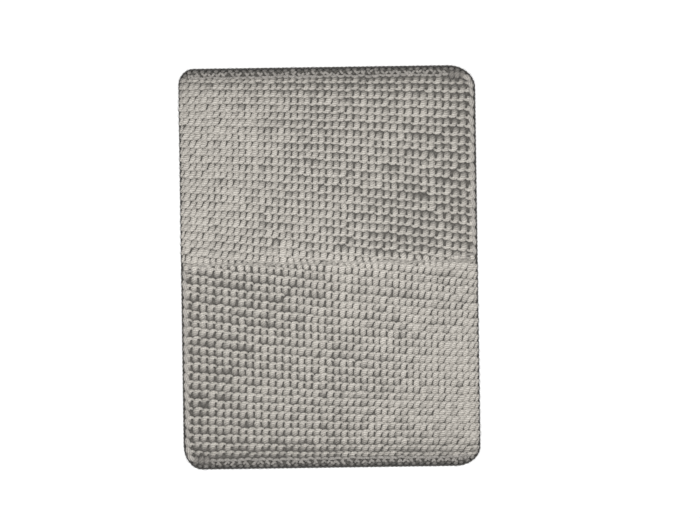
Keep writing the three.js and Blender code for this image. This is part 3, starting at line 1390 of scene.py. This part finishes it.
@dataclass(frozen=True)
class PlainWeave:
    """Plain-woven cloth: warp and weft threads that go over and under in turn."""

    name: str
    light: Colour = (0.42, 0.395, 0.36)
    dark: Colour = (0.26, 0.245, 0.22)
    thread: float = 0.0011
    lint_scale: float = 700.0

    def make(self) -> Material:
        """Builds the material: the product of the sines of x and y says which thread is on top."""
        m = NodeMaker(self.name)
        place = m.add("ShaderNodeTexCoord").outputs["Object"]
        split = m.add("ShaderNodeSeparateXYZ", {0: place})
        x, y = (m.math("MULTIPLY", split.outputs[i], math.pi / self.thread) for i in (0, 1))
        over = m.math("MULTIPLY", m.math("SINE", x), m.math("SINE", y))
        lint = m.noise(place, self.lint_scale, 4.0)
        tone = m.math("ADD", m.math("MULTIPLY", over, 0.35), lint)
        m.shade(Base_Color=m.ramp(tone, 0.2, 0.85, self.dark, self.light), Normal=m.bump(tone, 0.0004, 0.8))
        m.shade(Roughness=0.92, Specular_IOR_Level=0.2, Sheen_Weight=0.1)
        return m.material


@dataclass(frozen=True)
class CellFoam:
    """Open-cell foam: pits of mixed size in a cream body."""

    name: str
    light: Colour = (0.80, 0.76, 0.64)
    dark: Colour = (0.62, 0.57, 0.45)
    cell_scale: float = 900.0
    body_scale: float = 40.0

    def make(self) -> Material:
        """Builds the material: distance to the nearest cell centre sinks the pits and darkens them with
        painted shade.
        """
        m = NodeMaker(self.name)
        place = m.add("ShaderNodeTexCoord").outputs["Object"]
        cell = m.add("ShaderNodeTexVoronoi", {"Vector": place, "Scale": self.cell_scale}).outputs["Distance"]
        body = m.noise(place, self.body_scale)
        tone = m.math("ADD", cell, m.math("MULTIPLY", body, 0.5))
        # Painted shade: the pits near each cell centre are darker.
        m.shade(Base_Color=m.ramp(tone, 0.2, 0.9, self.dark, self.light), Roughness=0.95)
        m.shade(Normal=m.bump(cell, 0.0005, 0.8))
        return m.material


@dataclass(frozen=True)
class SoftRubber:
    """Soft matt rubber with a faint mottle."""

    name: str
    light: Colour = (0.24, 0.23, 0.215)
    dark: Colour = (0.17, 0.163, 0.153)
    mottle_scale: float = 60.0
    grain_scale: float = 1400.0

    def make(self) -> Material:
        """Builds the material: two noises vary tone and roughness."""
        m = NodeMaker(self.name)
        place = m.add("ShaderNodeTexCoord").outputs["Object"]
        mottle, grain = m.noise(place, self.mottle_scale), m.noise(place, self.grain_scale)
        m.shade(Base_Color=m.ramp(mottle, 0.3, 0.7, self.dark, self.light))
        m.shade(Roughness=m.span(grain, 0.3, 0.7, 0.55, 0.8), Normal=m.bump(grain, 0.0002, 0.4))
        return m.material


@dataclass(frozen=True)
class PaleFloor:
    """Plain white studio floor that glows a little, so that it stays white out to its corners."""

    name: str
    colour: Colour = (0.93, 0.93, 0.93)
    glow: float = 0.36

    def make(self) -> Material:
        """Builds the material."""
        m = NodeMaker(self.name)
        m.shade(Base_Color=(*self.colour, 1.0), Roughness=0.85)
        m.shade(Emission_Color=(1.0, 1.0, 1.0, 1.0), Emission_Strength=self.glow)
        return m.material


# ---------------------------------------------------------------- studio


@dataclass(frozen=True)
class Studio:
    """Pale floor, soft light from above the mat's middle, and a camera that looks straight down."""

    view_width: float = 1.4146
    lens: float = 200.0
    sensor: float = 36.0
    roll: float = math.radians(-0.84)
    aim: tuple[float, float] = (0.0416, 0.0168)
    floor_size: float = 8.0
    lamp_height: float = 1.4
    lamp_size: float = 0.7
    lamp_power: float = 14.4
    sky: float = 0.38
    clip_end: float = 30.0

    def build(self) -> None:
        """Makes the floor, lights and camera."""
        self.make_floor()
        self.make_light()
        self.make_camera()

    def make_floor(self) -> None:
        """Makes the floor, a plane under the mat."""
        half = self.floor_size / 2 / MM
        corners = np.array([(-half, -half, 0), (half, -half, 0), (half, half, 0), (-half, half, 0)], float)
        floor = new_object("floor", corners, np.array([[0, 1, 2, 3]]), PaleFloor("floor").make())

    def make_light(self) -> None:
        """Makes an even sky and one round lamp overhead."""
        scene = bpy.context.scene
        scene.view_settings.view_transform = "Standard"
        scene.world = bpy.data.worlds.new("sky")
        scene.world.use_nodes = True
        background = scene.world.node_tree.nodes["Background"]
        background.inputs[0].default_value = (1.0, 1.0, 1.0, 1.0)
        background.inputs[1].default_value = self.sky
        light = bpy.data.lights.new("overhead", "AREA")
        light.shape = "DISK"
        light.size = self.lamp_size
        light.energy = self.lamp_power
        lamp = bpy.data.objects.new("overhead", light)
        lamp.location = (0, 0, self.lamp_height)
        bpy.context.collection.objects.link(lamp)

    def make_camera(self) -> None:
        """Makes the camera, high enough for the view's width at the top of the mat."""
        data = bpy.data.cameras.new("camera")
        data.lens = self.lens
        data.sensor_width = self.sensor
        data.clip_end = self.clip_end
        camera = bpy.data.objects.new("camera", data)
        cos, sin = math.cos(self.roll), math.sin(self.roll)
        x = cos * self.aim[0] - sin * self.aim[1]
        y = sin * self.aim[0] + cos * self.aim[1]
        camera.location = (x, y, self.view_width * self.lens / self.sensor)
        camera.rotation_euler = (0, 0, self.roll)
        bpy.context.collection.objects.link(camera)
        bpy.context.scene.camera = camera


# ---------------------------------------------------------------- assembly


@dataclass
class BathMat:
    """The whole mat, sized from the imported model."""

    rng: np.random.Generator
    seam: float = 9.0
    clearance: float = 0.3

    def dress(self, obj: Object, slot: str, *nodes: str) -> Object:
        """Lets a piece ride on the mat and hides the CAD nodes that it stands for.

        Args:
            obj: the piece.
            slot: name of its material slot; not used.
            *nodes: CAD nodes that it replaces.

        Returns:
            The piece.
        """
        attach(obj, "root")
        if nodes:
            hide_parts(*nodes)
        log.info("%s: %d faces", obj.name, len(obj.data.polygons))
        return obj

    def build(self) -> None:
        """Builds every piece."""
        outline = Outline.from_cad("edge_binding")
        self.build_cover(outline)
        self.build_edge(outline)
        self.build_inside(outline)

    def build_cover(self, outline: Outline) -> None:
        """Builds both crocheted halves and the seam between them."""
        low, high = cad_box("cover_panel_front")
        proud = outline.half_width - high[0]
        cotton = CottonYarn("cotton_yarn").make()
        # The edge, chain and curl yarns are darker copies of the same cotton: painted shade for the braid, the
        # short ends and the corner curls, which lie in shade at the mat's edge.
        shaded_edge_cotton = CottonYarn("cotton_edge_yarn_shaded", (0.72, 0.68, 0.625), (0.54, 0.51, 0.47)).make()
        shaded_chain_cotton = CottonYarn("cotton_chain_yarn_shaded", (0.70, 0.66, 0.61), (0.47, 0.445, 0.41)).make()
        shaded_curl_cotton = CottonYarn("cotton_curl_yarn_shaded", (0.50, 0.47, 0.43), (0.32, 0.30, 0.275)).make()
        # The crochet's back gets a near-black weave: painted shade for the slits between the stitches, not the
        # yarn's own colour.
        painted_shade_web = PlainWeave("crochet_back_painted_shade", (0.17, 0.16, 0.145), (0.10, 0.095, 0.085), 0.004).make()
        for end in End:
            turned = end is End.BACK
            shape = outline.turned() if turned else outline
            cushion = Cushion(shape, high[2], low[2], proud)
            half = HalfPanel(end, cushion, -self.seam if turned else self.seam, self.rng)
            pieces = [
                self.dress(half.make_rows(cotton), "cotton", f"cover_panel_{end.value}"),
                self.dress(half.make_web(painted_shade_web), "cotton"),
                self.dress(half.make_braid(shaded_edge_cotton), "cotton_edge", f"side_braid_{end.value}"),
                self.dress(half.make_end_chain(shaded_chain_cotton), "cotton_edge", f"end_roll_{end.value}"),
                self.dress(half.make_curls(shaded_curl_cotton), "cotton_edge"),
            ]
        cushion = Cushion(outline, high[2], low[2], proud)
        seam = CentreSeam(cushion, self.seam, self.rng).build(cotton)
        self.dress(seam, "cotton", "centre_seam")

    def build_edge(self, outline: Outline) -> None:
        """Builds the binding cord and its hem thread."""
        low, high = cad_box("edge_binding")
        cloth_high = cad_box("backing_cloth")[1]
        width = outline.half_width - cloth_high[0] - self.clearance
        binding = EdgeBinding(outline, low[2], high[2], width, self.rng)
        self.dress(binding.make_cord(TwistedTape("binding_tape").make()), "binding", "edge_binding")
        thread = CottonYarn("hem_cotton", (0.34, 0.32, 0.29), (0.24, 0.225, 0.205)).make()
        self.dress(binding.make_thread(thread), "binding")

    def build_inside(self, outline: Outline) -> None:
        """Builds the backing cloth, the grip coat and the foam pad."""
        cloth_low, cloth_high = cad_box("backing_cloth")
        inner = outline.shrunk(outline.half_width - cloth_high[0])
        underside = Underside(inner, self.rng)
        cloth = underside.make_cloth(cloth_low[2], cloth_high[2], PlainWeave("backing_weave").make())
        self.dress(cloth, "backing", "backing_cloth")
        film, dots = underside.make_grip(cad_box("grip_layer")[1][2], SoftRubber("grip_rubber").make())
        self.dress(film, "grip", "grip_layer")
        self.dress(dots, "grip")
        foam_low, foam_high = cad_box("foam_core")
        pad_outline = outline.shrunk(outline.half_width - foam_high[0])
        pad = FoamPad(pad_outline, foam_low[2], foam_high[2]).build(CellFoam("foam_cells").make())
        self.dress(pad, "foam", "foam_core")


def main() -> None:
    """Builds the mat and the studio."""
    BathMat(np.random.default_rng(SEED)).build()
    Studio().build()
    log.info("mat and studio are built")


if __name__ == "__main__":
    main()
